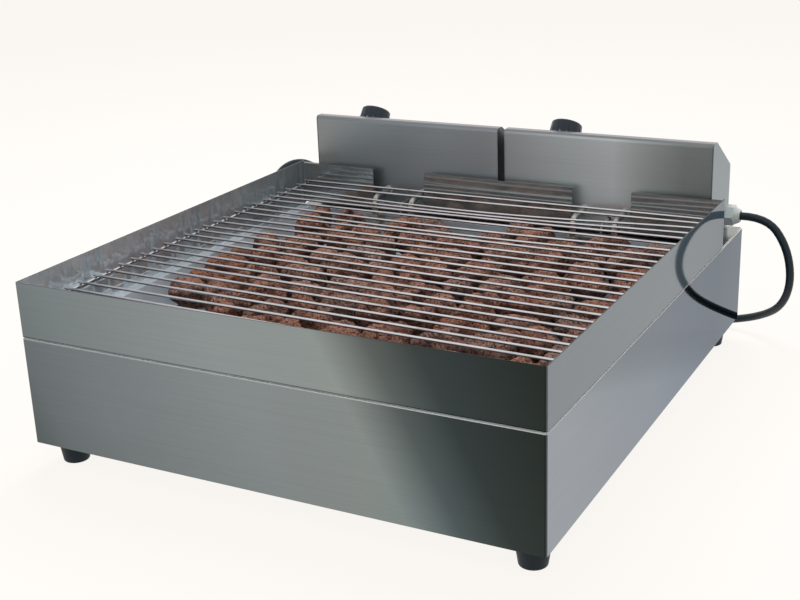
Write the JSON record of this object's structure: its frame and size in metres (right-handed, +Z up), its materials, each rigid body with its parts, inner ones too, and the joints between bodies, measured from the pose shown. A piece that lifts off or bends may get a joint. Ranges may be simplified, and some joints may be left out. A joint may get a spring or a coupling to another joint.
{
  "type": "lava rock grill",
  "caption": "Countertop electric lava rock grill: a steel casing with a rod cooking grid over a bed of rocks, control heads with mains cords at the rear and a grease drawer.",
  "frame": {"origin": "on the table under the middle of the grill, its cords left out", "axes": "+Z up, -Y towards the plain face nearest the viewer, +Y towards the operator's side with knobs and drawer, +X to the right seen from the plain face"},
  "size_m": [0.8086, 0.8751, 0.2876],
  "materials": {
    "body_steel": "brushed",
    "head_steel": "brushed",
    "tray_steel": "satin",
    "handle_steel": "satin",
    "screw_steel": "satin",
    "grid_chrome": "bright",
    "element_metal": "dull",
    "copper": "satin",
    "ceramic": "matt",
    "lava_rock": "rough",
    "foot_rubber": "matt",
    "cord_rubber": "matt",
    "black_plastic": "semi-gloss",
    "gland_plastic": "satin",
    "lead_plastic": "matt",
    "dial_aluminium": "satin",
    "lamp_red": "clear",
    "pin_brass": "bright"
  },
  "bodies": {
    "grill": {"lower_casing": "body_steel", "base_plate": "body_steel", "back_panel": "body_steel", "cross_rail": "body_steel", "rear_deck": "body_steel", "upper_frame": "body_steel", "frame_rear_wall": "body_steel", "grid_rests": "body_steel", "drawer_runners": "body_steel", "rock_tray": "tray_steel", "element_supports": "tray_steel", "feet": "foot_rubber", "foot_screws": "screw_steel", "head_screws": "screw_steel", "head_pads": "foot_rubber", "leg_bushes": "ceramic", "gland_locknuts": "gland_plastic", "leg_clamps": "element_metal", "head_bases": "head_steel", "dial_rings": "dial_aluminium", "terminal_blocks": "ceramic", "heating_element_left": "element_metal", "thermostat_bulb_left": "copper", "head_shell_left": "head_steel", "head_side_plates_left": "head_steel", "thermostat_left": "black_plastic", "pilot_lamp_left": "lamp_red", "cord_gland_left": "gland_plastic", "head_leads_left": "lead_plastic", "mains_cord_left": "cord_rubber", "cord_coil_left": "cord_rubber", "plug_left": "cord_rubber", "plug_pins_left": "pin_brass", "heating_element_right": "element_metal", "thermostat_bulb_right": "copper", "head_shell_right": "head_steel", "head_side_plates_right": "head_steel", "thermostat_right": "black_plastic", "pilot_lamp_right": "lamp_red", "cord_gland_right": "gland_plastic", "head_leads_right": "lead_plastic", "mains_cord_right": "cord_rubber", "cord_coil_right": "cord_rubber", "plug_right": "cord_rubber", "plug_pins_right": "pin_brass", "lava_rocks_front_left": "lava_rock", "lava_rocks_front_right": "lava_rock", "lava_rocks_rear_left": "lava_rock", "lava_rocks_rear_right": "lava_rock"},
    "cooking_grid": {"grid_cross_rods": "grid_chrome", "grid_side_rods": "grid_chrome"},
    "grease_drawer": {"drawer_pan": "tray_steel", "drawer_front": "body_steel", "drawer_handle": "handle_steel", "drawer_screws": "screw_steel"},
    "knob_left": {"knob_left": "black_plastic", "knob_shaft_left": "handle_steel"},
    "knob_right": {"knob_right": "black_plastic", "knob_shaft_right": "handle_steel"}
  },
  "joints": [
    {"name": "grid_lift", "type": "slide", "parent": "grill", "child": "cooking_grid", "axis": [0, 0, 1], "range_m": [0, 0.3]},
    {"name": "drawer_slide", "type": "slide", "parent": "grill", "child": "grease_drawer", "axis": [0, 1, 0], "range_m": [0, 0.38]},
    {"name": "thermostat_left", "type": "hinge", "parent": "grill", "child": "knob_left", "pos_m": [-0.215, 0.28141, 0.25902], "axis": [0, 0.5289, 0.8487], "range_deg": [-270, 0]},
    {"name": "thermostat_right", "type": "hinge", "parent": "grill", "child": "knob_right", "pos_m": [0.071, 0.28141, 0.25902], "axis": [0, 0.5289, 0.8487], "range_deg": [-270, 0]}
  ]
}
